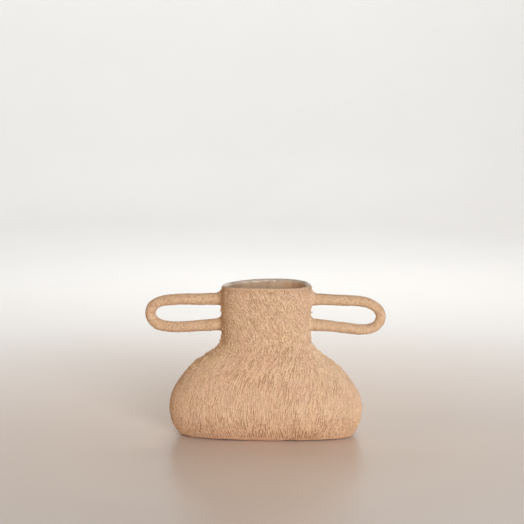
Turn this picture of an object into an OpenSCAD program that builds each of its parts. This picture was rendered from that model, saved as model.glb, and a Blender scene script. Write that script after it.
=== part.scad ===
// Hand-built stoneware vase: a wide flattened belly, an upright oval neck and two
// long loop handles. It is put together from clay members, each a solid of its own:
// a floor slab, four wall courses and a rim coil that meet in bevelled seams, two
// rolled handle coils with soft clay worked round their ends, and a glaze coat inside.
// Millimetres. Origin at the middle of the base, on the ground it stands on. +X is the right hand
// of someone facing the vase, +Y points to its back, +Z up.

/* [Vessel] */
// Height from the base to the top of the lip, before its slight waviness
vase_h = 182; // [166:0.5:200]
// Width of the belly at its widest
belly_w = 230; // [210:1:250]
// Depth of the belly from front to back
belly_d = 102; // [92:1:116]
// Thickness of the clay wall
wall = 6; // [5:0.5:7]
// How far the lip dips near its two ends and rises at front and back
lip_dip = 1.05; // [0:0.05:2]

/* [Handles] */
// Distance from the middle of the vase to the outside of a handle
handle_reach = 143.3; // [134:0.1:155]
// Thickness of the handle coil
coil_d = 13.9; // [12:0.1:15]

/* [Joints] */
// Clay swept up from an upper handle joint towards the lip
root_sweep = 6; // [4:0.5:7]
// Clay worked round the sides of a handle joint
root_side = 3; // [2:0.25:4]
// Clearance between a handle joint and the neck it is pressed on
root_gap = 0.15; // [0.05:0.05:0.2]

/* [Glaze] */
// Thickness of the glaze coat
glaze_t = 0.5; // [0.3:0.1:1]

/* [Fineness] */
// Points around the vessel
sides = 48; // [32:8:64]
// Points around a handle coil
coil_sides = 16; // [12:4:20]

/* [Hidden] */

clay = [0.80, 0.65, 0.51];
clay_warm = [0.78, 0.60, 0.45];
glaze = [0.66, 0.57, 0.48];

kx = belly_w / 230;
ky = belly_d / 102;
kz = vase_h / 182;

// Height of the lip's spring line, where the rounded lip leaves the wall
lip_z = vase_h - glaze_t - wall / 2;

// Profile stations, bottom to top: height, left half-width, right half-width,
// half-depth, squareness of the oval
PROFILE = [
    [0, 97.5, 102, 34, 2.6],
    [3, 102, 105.6, 38.8, 2.55],
    [7, 105.8, 108.5, 42.8, 2.5],
    [12, 109, 111.1, 46, 2.45],
    [20, 112.5, 113.7, 49, 2.4],
    [34, 114.5, 115.5, 51, 2.35],
    [52, 110.5, 111.3, 50, 2.3],
    [70, 100, 99.9, 48, 2.3],
    [86, 86, 84.3, 45.5, 2.3],
    [96, 71.5, 70, 43.5, 2.3],
    [104, 59.5, 61.3, 42, 2.3],
    [113, 53, 54.4, 41, 2.3],
    [124, 51.3, 53.2, 40.5, 2.3],
    [150, 52, 53.8, 40.5, 2.3],
    [168, 52.2, 54.5, 40.5, 2.3],
    [178.5, 52, 54.8, 40.5, 2.3]
];
LAST = len(PROFILE) - 1;
ROWS = [for (i = [0:LAST]) let (p = PROFILE[i])
    [i == LAST ? lip_z : p[0] * kz, p[1] * kx, p[2] * kx, p[3] * ky, p[4]]];

// Handle centre lines from the upper joint round to the lower one: distance inside
// the loop's outermost point, height, thickness relative to the coil
LEFT_LOOP = [
    [76, 163.6, 1.03], [66, 163.5, 1], [41, 163.2, 0.98], [24, 162.4, 0.94], [12, 160.3, 0.86],
    [3.3, 155.3, 0.86], [-0.4, 147, 0.91], [2.4, 138, 0.91], [10.3, 132.3, 0.94], [24, 130, 0.89],
    [41, 130.1, 0.92], [66, 132, 1.01], [76, 133, 1.03]
];
RIGHT_LOOP = [
    [76, 164.3, 1.03], [66, 164, 0.96], [41, 163, 0.89], [24, 162.1, 0.88], [11.9, 158.9, 0.86],
    [3.3, 153, 0.85], [-0.4, 144.4, 0.86], [2.6, 135.6, 0.83], [10.9, 129.8, 0.82], [24, 128.4, 0.86],
    [41, 130.2, 0.89], [66, 132.8, 0.97], [76, 133.7, 1.03]
];
// Fillets of the clay round each joint: upwards, sideways, downwards. The upper ones
// stop below the rounding of the lip.
sweep_top = min(root_sweep, lip_z - 164.6 * kz - 1.03 * coil_d / 2 - 0.3);
LEFT_UPPER = [sweep_top, root_side, 1.6];
LEFT_LOWER = [2 * root_side, root_side, 1.8];
RIGHT_UPPER = [sweep_top - 0.6, root_side, root_side + 0.6];
RIGHT_LOWER = [1.5 * root_side, root_side, 1.5];

// Where the straight end of a handle stops and its curve begins
root_end = 60 * kx;
loop_k = (handle_reach - coil_d / 2 - root_end) / 76;

// A smooth curve through a list of stations, and its slope
function ends(L, i) = i < 0 ? 2 * L[0] - L[1]
    : i >= len(L) ? 2 * L[len(L) - 1] - L[len(L) - 2] : L[i];
function leg(L, s) = min(floor(s), len(L) - 2);
function smooth(a, b, c, d, t) =
    (2 * b + (c - a) * t + (2 * a - 5 * b + 4 * c - d) * t * t + (3 * b - a - 3 * c + d) * t * t * t) / 2;
function smooth_d(a, b, c, d, t) =
    ((c - a) + 2 * (2 * a - 5 * b + 4 * c - d) * t + 3 * (3 * b - a - 3 * c + d) * t * t) / 2;
function curve(L, s) = let (i = leg(L, s))
    smooth(ends(L, i - 1), ends(L, i), ends(L, i + 1), ends(L, i + 2), s - i);
function slope(L, s) = let (i = leg(L, s))
    smooth_d(ends(L, i - 1), ends(L, i), ends(L, i + 1), ends(L, i + 2), s - i);

// Outline rows: the outside at station s, the same set in by a thickness measured
// square to the wall, and the rounded lip at angle a
function outer(s) = curve(ROWS, s);
function inner(s, t = wall) = let (o = outer(s), q = slope(ROWS, s))
    [o[0], o[1] - t * sqrt(1 + pow(q[1] / q[0], 2)), o[2] - t * sqrt(1 + pow(q[2] / q[0], 2)),
     o[3] - t * sqrt(1 + pow(q[3] / q[0], 2)), o[4]];
function inset(v, d, up = 0) = [v[0] + up, v[1] - d, v[2] - d, v[3] - d, v[4]];
function lip(a, r = wall / 2) = inset(outer(LAST), wall / 2 - r * cos(a), r * sin(a));

// Waviness of the lip, fading out down the neck
function wave(u, z) = let (w = max(0, min(1, (z - 150 * kz) / (lip_z - 150 * kz))))
    w * w * (0.64 * cos(u - 8) - lip_dip * cos(2 * u + 28));

// One closed oval of points
function bend(c, e) = sign(c) * pow(abs(c), e);
function oval(v) = [for (j = [0:sides - 1]) let (u = 360 * j / sides, e = 2 / v[4])
    [(v[2] - v[1]) / 2 + (v[2] + v[1]) / 2 * bend(cos(u), e), v[3] * bend(sin(u), e),
     v[0] + wave(u, v[0])]];

// Skin over a list of point rows, closed round like a ring or capped at its ends.
// The diagonal of each patch follows the rows' heights, so two members that share
// a seam share its facets too.
function lower(a, b) = a[2] < b[2] || (a[2] == b[2] && a[0] > b[0]);
function band(rows, i, k, m) = let (f = lower(rows[i][0], rows[k][0]))
    [for (j = [0:m - 1]) let (p = (j + 1) % m)
        each (f ? [[i * m + j, k * m + p, i * m + p], [i * m + j, k * m + j, k * m + p]]
                : [[i * m + j, k * m + j, i * m + p], [i * m + p, k * m + j, k * m + p]])];
module ring_skin(rows) {
    n = len(rows);
    m = len(rows[0]);
    polyhedron(points = [for (r = rows) each r],
               faces = [for (i = [0:n - 1]) each band(rows, i, (i + 1) % n, m)]);
}
module capped_skin(rows) {
    n = len(rows);
    m = len(rows[0]);
    polyhedron(points = [for (r = rows) each r],
               faces = concat([for (i = [0:n - 2]) each band(rows, i, i + 1, m)],
                              [[for (j = [0:m - 1]) j]],
                              [[for (j = [m - 1:-1:0]) (n - 1) * m + j]]));
}
module coil_skin(rows, first, last) {
    n = len(rows);
    m = len(rows[0]);
    polyhedron(points = concat([for (r = rows) each r], [first, last]),
               faces = concat([for (i = [0:n - 2]) each band(rows, i, i + 1, m)],
                              [for (j = [0:m - 1]) [n * m, j, (j + 1) % m]],
                              [for (j = [0:m - 1])
                                  [n * m + 1, (n - 1) * m + (j + 1) % m, (n - 1) * m + j]]));
}

// A wall course between two seams
module course(outside, inside) {
    ring_skin(concat([for (s = outside) oval(outer(s))],
                     [for (i = [len(inside) - 1:-1:0]) oval(inner(inside[i]))]));
}

// Stations of the courses. The seam bevels rise from the outside to the inside.
FOOT_IN = [2, 3, 3.5, 4, 4.5, 5, 5.35];
BELLY_IN = [5.35, 5.7, 6, 6.5, 7, 7.35];
SHOULDER_IN = [7.35, 7.7, 8, 8.5, 9, 9.5, 10, 10.5, 11, 11.35];
NECK_IN = [11.35, 12, 12.5, 13, 13.5, 14, 14.35];

// The inside corner between slab and wall: the corner itself, the edge of the soft
// coil on the slab, and the hollow of its face
function corner() = inner(2);
function coil_edge() = inset(corner(), 6);
function coil_face() = 0.35 * coil_edge() + 0.35 * inner(3) + 0.3 * corner();

// The neck's outside, as a distance from the middle plane towards one hand
function station(z, lo = 10, hi = LAST, n = 24) = let (m = (lo + hi) / 2)
    n == 0 ? m : outer(m)[0] < z ? station(z, m, hi, n - 1) : station(z, lo, m, n - 1);
function neck_x(hand, y, z) = let (v = outer(station(z)))
    hand * (v[2] - v[1]) / 2
    + (v[2] + v[1]) / 2 * pow(1 - pow(abs(y) / v[3], v[4]), 1 / v[4]);

// Points round a handle joint: k is +1 at the upper joint and -1 at the lower one,
// where the coil runs the other way. The coil's end lies on the neck.
function joint_fillet(f, up) = f[1] + (f[0] - f[1]) * pow(max(0, up), 1.5)
    + (f[2] - f[1]) * pow(max(0, -up), 1.5);
function joint_point(hand, z, k, r, a) = let (y = r * cos(a), h = z + k * r * sin(a))
    [neck_x(hand, y, h) + root_gap, y, h];
function joint_ring(hand, z, k, f, r, grow, out) =
    [for (j = [0:coil_sides - 1]) let (a = 360 * j / coil_sides, g = joint_fillet(f, k * sin(a)),
        p = joint_point(hand, z, k, r + grow * g, a)) p + [out * g, 0, 0]];

// A rolled handle coil: straight at its two ends, a flat loop between them
function loop_line(L) = [for (p = L)
    [handle_reach - coil_d / 2 - p[0] * loop_k, p[1] * kz, p[2] * coil_d / 2]];
function coil_ring(L, s) = let (p = curve(L, s), q = slope(L, s), n = norm([q[0], q[1]]))
    [for (j = [0:coil_sides - 1]) let (a = 360 * j / coil_sides)
        [p[0] - q[1] / n * p[2] * sin(a), p[2] * cos(a), p[1] + q[0] / n * p[2] * sin(a)]];
module handle_coil(hand, loop, f_top, f_low) {
    L = loop_line(loop);
    n = len(L) - 1;
    z1 = L[0][1];
    z2 = L[n][1];
    r1 = L[0][2];
    r2 = L[n][2];
    coil_skin(concat([joint_ring(hand, z1, 1, f_top, r1, 0, 0), joint_ring(hand, z1, 1, f_top, r1, 0, 1)],
                     [for (s = [0:0.5:n]) coil_ring(L, s)],
                     [joint_ring(hand, z2, -1, f_low, r2, 0, 1), joint_ring(hand, z2, -1, f_low, r2, 0, 0)]),
              joint_point(hand, z1, 1, 0, 0), joint_point(hand, z2, -1, 0, 0));
}
// Soft clay round one end of a handle: a hollow fillet from the neck to the coil
module handle_root(hand, loop, k, f) {
    L = loop_line(loop);
    e = k > 0 ? L[0] : L[len(L) - 1];
    on_coil = joint_ring(hand, e[1], k, f, e[2], 0, 1);
    at_corner = joint_ring(hand, e[1], k, f, e[2], 0, 0);
    on_neck = joint_ring(hand, e[1], k, f, e[2], 1, 0);
    fillet = [for (t = [0:0.25:1])
        (1 - t) * (1 - t) * on_neck + 2 * t * (1 - t) * at_corner + t * t * on_coil];
    loops = concat([at_corner], fillet);
    n = len(loops);
    ring_skin([for (i = [0:n - 1]) loops[k > 0 ? i : n - 1 - i]]);
}

module floor_slab() {
    edge = 0.6;
    color(clay) union() {
        linear_extrude(height = edge) polygon([for (p = oval(outer(0))) [p[0], p[1]]]);
        capped_skin([[for (p = oval(outer(0))) [p[0], p[1], edge]],
                     oval(outer(0.5)), oval(outer(1)), oval(corner())]);
    }
}
module floor_seam_coil() {
    color(clay_warm)
        ring_skin([oval(coil_edge()), oval(corner()), oval(inner(3)), oval(coil_face())]);
}
module foot_wall() { color(clay) course([1, 1.5, 2, 2.5, 3, 3.5, 4, 4.5, 5], FOOT_IN); }
module belly_wall() { color(clay) course([5:0.5:7], BELLY_IN); }
module shoulder_wall() { color(clay) course([7:0.5:11], SHOULDER_IN); }
module neck_wall() { color(clay) course([11:0.5:14], NECK_IN); }
module rim_coil() {
    color(clay)
        ring_skin(concat([oval(outer(14)), oval(outer(14.5))], [for (a = [0:30:180]) oval(lip(a))],
                         [oval(inner(14.35))]));
}
module left_handle() {
    color(clay_warm) mirror([1, 0, 0]) handle_coil(-1, LEFT_LOOP, LEFT_UPPER, LEFT_LOWER);
}
module right_handle() {
    color(clay_warm) handle_coil(1, RIGHT_LOOP, RIGHT_UPPER, RIGHT_LOWER);
}
module left_upper_root() { color(clay) mirror([1, 0, 0]) handle_root(-1, LEFT_LOOP, 1, LEFT_UPPER); }
module left_lower_root() { color(clay) mirror([1, 0, 0]) handle_root(-1, LEFT_LOOP, -1, LEFT_LOWER); }
module right_upper_root() { color(clay) handle_root(1, RIGHT_LOOP, 1, RIGHT_UPPER); }
module right_lower_root() { color(clay) handle_root(1, RIGHT_LOOP, -1, RIGHT_LOWER); }
// The coat runs from the slab over the seam coil, up the wall and over the lip, and
// thins out to nothing near the top of the lip
module glaze_lining() {
    inside = concat([3, 3.5, 4, 4.5, 5], BELLY_IN, [7.7, 8, 8.5, 9, 9.5, 10, 10.5, 11],
                    NECK_IN);
    back = concat([coil_edge(), coil_face()], [for (s = inside) inner(s)],
                  [for (a = [180:-30:90]) lip(a)], [lip(70)]);
    front = concat([inset(coil_edge(), 0.3, glaze_t), inset(coil_face(), 0.7 * glaze_t, 0.7 * glaze_t)],
                   [for (s = inside) inner(s, wall + glaze_t)],
                   [for (a = [180:-30:90]) lip(a, wall / 2 + glaze_t)], [lip(70, wall / 2 + 0.15)]);
    color(glaze) capped_skin(concat([for (v = back) oval(v)],
                                    [for (i = [len(front) - 1:-1:0]) oval(front[i])]));
}

floor_slab();
floor_seam_coil();
foot_wall();
belly_wall();
shoulder_wall();
neck_wall();
rim_coil();
left_handle();
right_handle();
left_upper_root();
left_lower_root();
right_upper_root();
right_lower_root();
glaze_lining();
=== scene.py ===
import math

import bpy
import numpy as np
from mathutils import Matrix, Vector


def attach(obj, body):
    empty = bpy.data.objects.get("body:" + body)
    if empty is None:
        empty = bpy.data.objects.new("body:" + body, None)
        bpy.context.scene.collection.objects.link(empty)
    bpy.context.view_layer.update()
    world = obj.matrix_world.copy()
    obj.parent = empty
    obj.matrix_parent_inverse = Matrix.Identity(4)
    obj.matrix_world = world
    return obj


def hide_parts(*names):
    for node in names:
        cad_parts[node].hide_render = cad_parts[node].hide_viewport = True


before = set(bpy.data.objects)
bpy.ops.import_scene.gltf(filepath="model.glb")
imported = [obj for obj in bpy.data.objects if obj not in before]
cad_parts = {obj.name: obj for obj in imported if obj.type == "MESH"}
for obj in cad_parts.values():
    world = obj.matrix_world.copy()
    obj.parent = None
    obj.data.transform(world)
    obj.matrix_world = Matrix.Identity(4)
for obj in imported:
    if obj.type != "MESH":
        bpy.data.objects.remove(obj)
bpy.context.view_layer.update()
SEED = 11

# ---------------------------------------------------------------- shape of the vase
# The same stations as the CAD profile, in millimetres: height, left half-width,
# right half-width, half-depth, squareness of the oval.
WALL, GLAZE, LIP_Z = 6.0, 0.5, 178.5
PROFILE = np.array([
    [0, 97.5, 102, 34, 2.6], [3, 102, 105.6, 38.8, 2.55], [7, 105.8, 108.5, 42.8, 2.5],
    [12, 109, 111.1, 46, 2.45], [20, 112.5, 113.7, 49, 2.4], [34, 114.5, 115.5, 51, 2.35],
    [52, 110.5, 111.3, 50, 2.3], [70, 100, 99.9, 48, 2.3], [86, 86, 84.3, 45.5, 2.3],
    [96, 71.5, 70, 43.5, 2.3], [104, 59.5, 61.3, 42, 2.3], [113, 53, 54.4, 41, 2.3],
    [124, 51.3, 53.2, 40.5, 2.3], [150, 52, 53.8, 40.5, 2.3], [168, 52.2, 54.5, 40.5, 2.3],
    [LIP_Z, 52, 54.8, 40.5, 2.3]], float)
LAST = len(PROFILE) - 1
REACH, COIL_R = 143.3, 6.95
LEFT_LOOP = [
    (76, 163.6, 1.03), (66, 163.5, 1), (41, 163.2, 0.98), (24, 162.4, 0.94), (12, 160.3, 0.86),
    (3.3, 155.3, 0.86), (-0.4, 147, 0.91), (2.4, 138, 0.91), (10.3, 132.3, 0.94), (24, 130, 0.89),
    (41, 130.1, 0.92), (66, 132, 1.01), (76, 133, 1.03)]
RIGHT_LOOP = [
    (76, 164.3, 1.03), (66, 164, 0.96), (41, 163, 0.89), (24, 162.1, 0.88), (11.9, 158.9, 0.86),
    (3.3, 153, 0.85), (-0.4, 144.4, 0.86), (2.6, 135.6, 0.83), (10.9, 129.8, 0.82), (24, 128.4, 0.86),
    (41, 130.2, 0.89), (66, 132.8, 0.97), (76, 133.7, 1.03)]

NU = 1536          # columns round the outside, of which the neck and the rim take every second one
COURSES = [("floor_slab", 0, 1, 8), ("foot_wall", 1, 5, 56), ("belly_wall", 5, 7, 58),
           ("shoulder_wall", 7, 11, 63), ("neck_wall", 11, 14, 118), ("rim_coil", 14, 15, 20)]
EVERY = {"neck_wall": 2, "rim_coil": 2}
INSIDE = {"foot_wall": [2, 3, 3.5, 4, 4.5, 5, 5.35], "belly_wall": [5.35, 5.7, 6, 6.5, 7, 7.35],
          "shoulder_wall": [7.35, 7.7, 8, 8.5, 9, 9.5, 10, 10.5, 11, 11.35],
          "neck_wall": [11.35, 12, 12.5, 13, 13.5, 14, 14.35], "rim_coil": [14.35]}


def stations(L, s):
    """Smooth curve through the stations L at the parameters s, and its slope."""
    L, s = np.asarray(L, float), np.atleast_1d(np.asarray(s, float))
    i = np.clip(np.floor(s).astype(int), 0, len(L) - 2)
    t = (s - i)[:, None]
    ext = np.vstack([2 * L[0] - L[1], L, 2 * L[-1] - L[-2]])
    a, b, c, d = ext[i], ext[i + 1], ext[i + 2], ext[i + 3]
    k2, k3 = 2 * a - 5 * b + 4 * c - d, 3 * b - a - 3 * c + d
    return (2 * b + (c - a) * t + k2 * t ** 2 + k3 * t ** 3) / 2, ((c - a) + 2 * k2 * t + 3 * k3 * t ** 2) / 2


def outer(s):
    return stations(PROFILE, s)[0]


def inner(s, t=WALL):
    o, q = stations(PROFILE, s)
    o = o.copy()
    o[:, 1:4] -= t * np.sqrt(1 + (q[:, 1:4] / q[:, :1]) ** 2)
    return o


def inset(v, d, up=0.0):
    v = np.array(v, float)
    v[..., 0] += up
    v[..., 1:4] -= d
    return v


def lip(a, r=WALL / 2):
    a = math.radians(a)
    return inset(outer(LAST), WALL / 2 - r * math.cos(a), r * math.sin(a))[0]


def wave(u, z):
    w = np.clip((z - 150) / (LIP_Z - 150), 0, 1)
    return w * w * (0.64 * np.cos(u - math.radians(8)) - 1.05 * np.cos(2 * u + math.radians(28)))


def bend(c, e):
    return np.sign(c) * np.abs(c) ** e


def ovals(rows, u):
    """Points of the ovals of rows (n, 5) at the angles u: (n, len(u), 3)."""
    rows = np.atleast_2d(rows)
    e = 2 / rows[:, 4:5]
    cx, hw = (rows[:, 2:3] - rows[:, 1:2]) / 2, (rows[:, 2:3] + rows[:, 1:2]) / 2
    x = cx + hw * bend(np.cos(u)[None], e)
    y = rows[:, 3:4] * bend(np.sin(u)[None], e)
    z = rows[:, 0:1] + wave(u[None], rows[:, 0:1])
    return np.stack([x, y, np.broadcast_to(z, x.shape)], -1)


def oval_points(rows, u):
    """One point on each of the ovals of rows (n, 5), each at its own angle."""
    e = 2 / rows[:, 4]
    x = (rows[:, 2] - rows[:, 1]) / 2 + (rows[:, 2] + rows[:, 1]) / 2 * bend(np.cos(u), e)
    return np.stack([x, rows[:, 3] * bend(np.sin(u), e), rows[:, 0] + wave(u, rows[:, 0])], -1)


def even_angles(n):
    """Angles that space n points about evenly round the belly and the neck."""
    u = np.linspace(0, 2 * math.pi, 40001)
    total = 0
    for s in (3.0, 5.0, 12.0):
        p = ovals(outer(s), u)[0]
        step = np.linalg.norm(np.diff(p, axis=0), axis=1)
        total = total + np.concatenate([[0], np.cumsum(step)]) / step.sum()
    total /= 3
    return np.interp(np.arange(n) / n, total, u)


def even_stations(a, b, n):
    s = np.linspace(a, b, 2001)
    o = outer(s)
    step = (np.hypot(np.diff(o[:, 0]), np.diff(o[:, 3])) + np.hypot(np.diff(o[:, 0]), np.diff(o[:, 1]))) / 2
    run = np.concatenate([[0], np.cumsum(step)])
    return np.interp(np.linspace(0, run[-1], n + 1), run, s)


# ---------------------------------------------------------------- noise
def lattice(ix, iy, iz, seed):
    h = (ix * 374761393 + iy * 668265263 + iz * 2147483647 + seed * 1274126177) & 0xFFFFFFFF
    h = ((h ^ (h >> 13)) * 1274126177) & 0xFFFFFFFF
    h = ((h ^ (h >> 16)) * 2246822519) & 0xFFFFFFFF
    return ((h ^ (h >> 15)) & 0xFFFF) / 32767.5 - 1


def noise(p, size, seed):
    """Smooth value noise from -1 to 1 with features about size millimetres across."""
    q = p / size
    i = np.floor(q).astype(np.int64)
    f = q - i
    f = f * f * f * (f * (f * 6 - 15) + 10)
    out = 0
    for dx in (0, 1):
        for dy in (0, 1):
            for dz in (0, 1):
                w = (f[..., 0] if dx else 1 - f[..., 0]) * (f[..., 1] if dy else 1 - f[..., 1]) \
                    * (f[..., 2] if dz else 1 - f[..., 2])
                out = out + w * lattice(i[..., 0] + dx, i[..., 1] + dy, i[..., 2] + dz, seed)
    return out


def fractal(p, size, seed, octaves=3):
    out, amp = 0, 1
    for k in range(octaves):
        out = out + amp * noise(p, size / 2 ** k, seed + 17 * k)
        amp *= 0.5
    return out


def unit(v):
    return v / np.maximum(np.linalg.norm(v, axis=-1, keepdims=True), 1e-12)


def sheet_frame(P, wrap_u=True):
    """Tangents along columns and rows of a point grid, and its normal."""
    if wrap_u:
        tu = np.roll(P, -1, 1) - np.roll(P, 1, 1)
    else:
        tu = np.gradient(P, axis=1)
    tv = np.gradient(P, axis=0)
    n = unit(np.cross(tu, tv))
    return unit(tu), unit(np.cross(n, unit(tu))), n


# ---------------------------------------------------------------- scratched strokes
def scratch(P, tu, tv, H, marks, top=1.25, floor=-1.15):
    """Drags each mark over the height field H of the closed grid P. A mark is (row, column,
    angle from the vertical, length, half-width, depth, burr, crumb, tines, bow)."""
    nv, nu = H.shape
    du = np.linalg.norm(np.roll(P, -1, 1) - P, axis=2)
    dv = np.linalg.norm(np.gradient(P, axis=0), axis=2)
    for n, (r, c, ang, length, w, depth, burr, crumb, tines, bow) in enumerate(marks):
        r, c = int(r), int(c)
        pitch = 2.6 * w
        side = w * 2.6 + pitch * (tines - 1) / 2
        half = length / 2
        ca, sa = math.cos(ang), math.sin(ang)
        wi = int((half * abs(ca) + side + 1) / dv[r, c]) + 2
        wj = int((half * abs(sa) + side + 1) / du[r, c]) + 2
        r0, r1 = max(0, r - wi), min(nv, r + wi + 1)
        cols = np.arange(c - wj, c + wj + 1) % nu
        d = P[r0:r1][:, cols] - P[r, c]
        along = tv[r, c] * ca + tu[r, c] * sa
        across = tu[r, c] * ca - tv[r, c] * sa
        a = d @ along
        t = a / half
        b = d @ across + bow * t * t + 0.12 * w * np.sin(2.2 * a + n)
        reach = np.clip((1 - np.abs(t)) / 0.24, 0, 1)
        reach = reach * reach * (3 - 2 * reach)
        press = 1 + 0.25 * t                       # deepest where the tool went in, at the top
        h = H[r0:r1][:, cols]
        lean_to = 1 if n % 3 else -1               # which side the burr is thrown up on
        for k in range(tines):
            o = (b - (k - (tines - 1) / 2) * pitch) / w
            q = np.abs(o)
            m = reach * np.clip(1.2 - q ** 4, 0, 1)
            h = h + m * (-depth * press * np.clip(1 - q * q, 0, 1) - 0.75 * h)
            thrown = np.where(o * lean_to > 0, 1.0, 0.45)
            h = h + burr * thrown * reach * np.exp(-((q - 1.35) / 0.36) ** 2) * np.clip(1.3 - h, 0, 1)
            if crumb > 0:
                e = ((a + half * (0.97 - 0.13 * k)) / (1.05 * w)) ** 2 + (q * 0.8) ** 2
                h = h + crumb * np.exp(-e) * np.clip(1.5 - h, 0, 1)
        h = np.where(h > top, top + 0.25 * np.tanh((h - top) / 0.25), h)
        H[r0:r1, cols] = np.maximum(h, floor)
    return H


# ---------------------------------------------------------------- meshes
def add_piece(name, verts, polys, normals=None, uv=None, points=None, node=None, mat=None):
    """A mesh object from points in millimetres. polys is a list of index arrays, each (n, k)."""
    me = bpy.data.meshes.new(name)
    verts = np.asarray(verts, np.float64) * 0.001
    sizes = np.concatenate([np.full(len(p), p.shape[1], np.int32) for p in polys])
    loops = np.concatenate([p.reshape(-1) for p in polys]).astype(np.int32)
    me.vertices.add(len(verts))
    me.vertices.foreach_set("co", verts.astype(np.float32).reshape(-1))
    me.loops.add(len(loops))
    me.loops.foreach_set("vertex_index", loops)
    me.polygons.add(len(sizes))
    me.polygons.foreach_set("loop_start", np.concatenate([[0], np.cumsum(sizes)[:-1]]).astype(np.int32))
    me.polygons.foreach_set("use_smooth", np.ones(len(sizes), bool))
    if uv is not None:
        layer = me.uv_layers.new(name="OFBake")
        layer.data.foreach_set("uv", np.concatenate([u.reshape(-1) for u in uv]).astype(np.float32))
    for key, values in (points or {}).items():
        at = me.attributes.new(key, "FLOAT", "POINT")
        at.data.foreach_set("value", np.asarray(values, np.float32))
    me.update(calc_edges=True)
    me.validate()
    if normals is not None:
        me.normals_split_custom_set_from_vertices(np.asarray(normals, np.float32).tolist())
    ob = bpy.data.objects.new(name, me)
    bpy.context.scene.collection.objects.link(ob)
    if mat is not None:
        me.materials.append(mat)
    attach(ob, "root")
    if node:
        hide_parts(*([node] if isinstance(node, str) else node))
    return ob


def grid_quads(base, rows, cols, wrap=True):
    """Quads of a point grid whose rows go up and columns go round, facing outwards."""
    i = np.arange(rows - 1)[:, None]
    j = np.arange(cols if wrap else cols - 1)[None]
    k = (j + 1) % cols
    return np.stack([base + i * cols + j, base + i * cols + k, base + (i + 1) * cols + k,
                     base + (i + 1) * cols + j], -1).reshape(-1, 4)


def strip_uv(rows, cols, strips, lo, hi):
    """UVs of grid_quads, cut into strips that are stacked between lo and hi."""
    per = cols // strips
    i = np.arange(rows - 1)[:, None]
    j = np.arange(cols)[None]
    k, c = j // per, j % per
    high = (hi - lo) / strips
    pad_u, pad_v = 0.004, min(0.004, high * 0.05)
    u = lambda x: pad_u + (1 - 2 * pad_u) * x / per + 0 * i
    v = lambda y: lo + k * high + pad_v + (high - 2 * pad_v) * y / (rows - 1)
    return np.stack([np.stack([u(c), v(i)], -1), np.stack([u(c + 1), v(i)], -1),
                     np.stack([u(c + 1), v(i + 1)], -1), np.stack([u(c), v(i + 1)], -1)], 2).reshape(-1, 4, 2)


def flat_uv(polys, lo, hi):
    """UVs of hidden faces: laid out in a row of small cells between lo and hi."""
    n, k = polys.shape
    ang = np.linspace(0, 2 * math.pi, k, endpoint=False)
    cell = np.stack([0.5 + 0.45 * np.cos(ang), 0.5 + 0.45 * np.sin(ang)], -1)
    x = (np.arange(n)[:, None, None] + cell[None, :, :1]) / n
    y = lo + (hi - lo) * np.broadcast_to(cell[None, :, 1:], (n, k, 1))
    return np.concatenate([x, y], -1)


def step_down(fine_base, coarse_base, fine, flip=False):
    """Faces between a ring of fine points and a ring with a quarter as many."""
    n = fine // 4
    k = np.arange(n)
    f = [fine_base + (4 * k + d) % fine for d in range(5)]
    c0, c1 = coarse_base + k, coarse_base + (k + 1) % n
    faces = np.stack([*f, c1, c0], -1)
    return faces[:, ::-1] if flip else faces


# ---------------------------------------------------------------- outside of the pot
U = even_angles(NU)
S = np.concatenate([even_stations(a, b, n)[(0 if name == "floor_slab" else 1):] for name, a, b, n in COURSES])
FIRST = {}
row = 0
for name, a, b, n in COURSES:
    FIRST[name] = (row, row + n)
    row += n
ROLL = np.concatenate([np.zeros(len(S)), np.linspace(0, 90, 11)[1:]])      # angle over the lip
P0 = ovals(np.concatenate([outer(S), [lip(a) for a in ROLL[len(S):]]]), U)
TU, TV, N0 = sheet_frame(P0)
Z = P0[..., 2]

rng = np.random.default_rng(SEED)
cell = np.linalg.norm(np.roll(P0, -1, 1) - P0, axis=2) * np.linalg.norm(np.gradient(P0, axis=0), axis=2)
AREA = float(cell.sum())


def lean(x, z):
    """Which way the strokes lean from the vertical, in degrees: positive is to the right going up."""
    at = [0, 10, 20, 32, 50, 66, 80, 92, 104, 114, 124, 140, 178]
    left = np.interp(z, at, [-8, -11, -8, 2, 8, 12, 26, 42, 42, 12, -10, -24, -30])
    middle = np.interp(z, at, [-8, -11, -8, 0, 5, 9, 26, 42, 38, 4, -12, -24, -32])
    right = np.interp(z, at, [4, 7, 6, 7, 8, 6, 0, -4, -8, -16, -24, -35, -42])
    k = np.clip(x / 58, -1, 1)
    return middle + np.clip(k, 0, 1) * (right - middle) + np.clip(-k, 0, 1) * (left - middle)


def by_height(z, values):
    return np.interp(z, [0, 12, 25, 45, 70, 85, 100, 115, 140, 178], values)


RUN = np.concatenate([[0], np.cumsum(np.linalg.norm(np.diff(P0, axis=0), axis=2).mean(1))])
ROUND = np.linalg.norm(np.roll(P0, -1, 1) - P0, axis=2).sum(1)


def raked(along, across, loose):
    """Rows and columns of stroke centres, set out like the passes of a tool, in random order."""
    rows, cols = [], []
    for k in range(-1, int(RUN[-1] / along) + 1):
        mid = (k + 0.5 + rng.uniform(-0.2, 0.2)) * along
        n = int(np.interp(mid, RUN, ROUND) / across)
        rows.append(mid + rng.normal(0, 0.3 * along, n))
        cols.append((np.arange(n) + rng.uniform(-loose, loose, n) + 0.5 * (k % 2)) / n * NU)
    rows, cols = np.concatenate(rows), np.concatenate(cols)
    keep = (rows > -1) & (rows < RUN[-1] + 1)
    rows, cols = rows[keep], cols[keep]
    order = rng.permutation(len(rows))
    return (np.rint(np.interp(rows, RUN, np.arange(len(RUN)))).astype(int)[order],
            np.rint(cols).astype(int)[order] % NU)


def scattered(count):
    pick = rng.choice(cell.size, size=count, p=(cell / AREA).reshape(-1))
    return np.unravel_index(pick, cell.shape)


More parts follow.
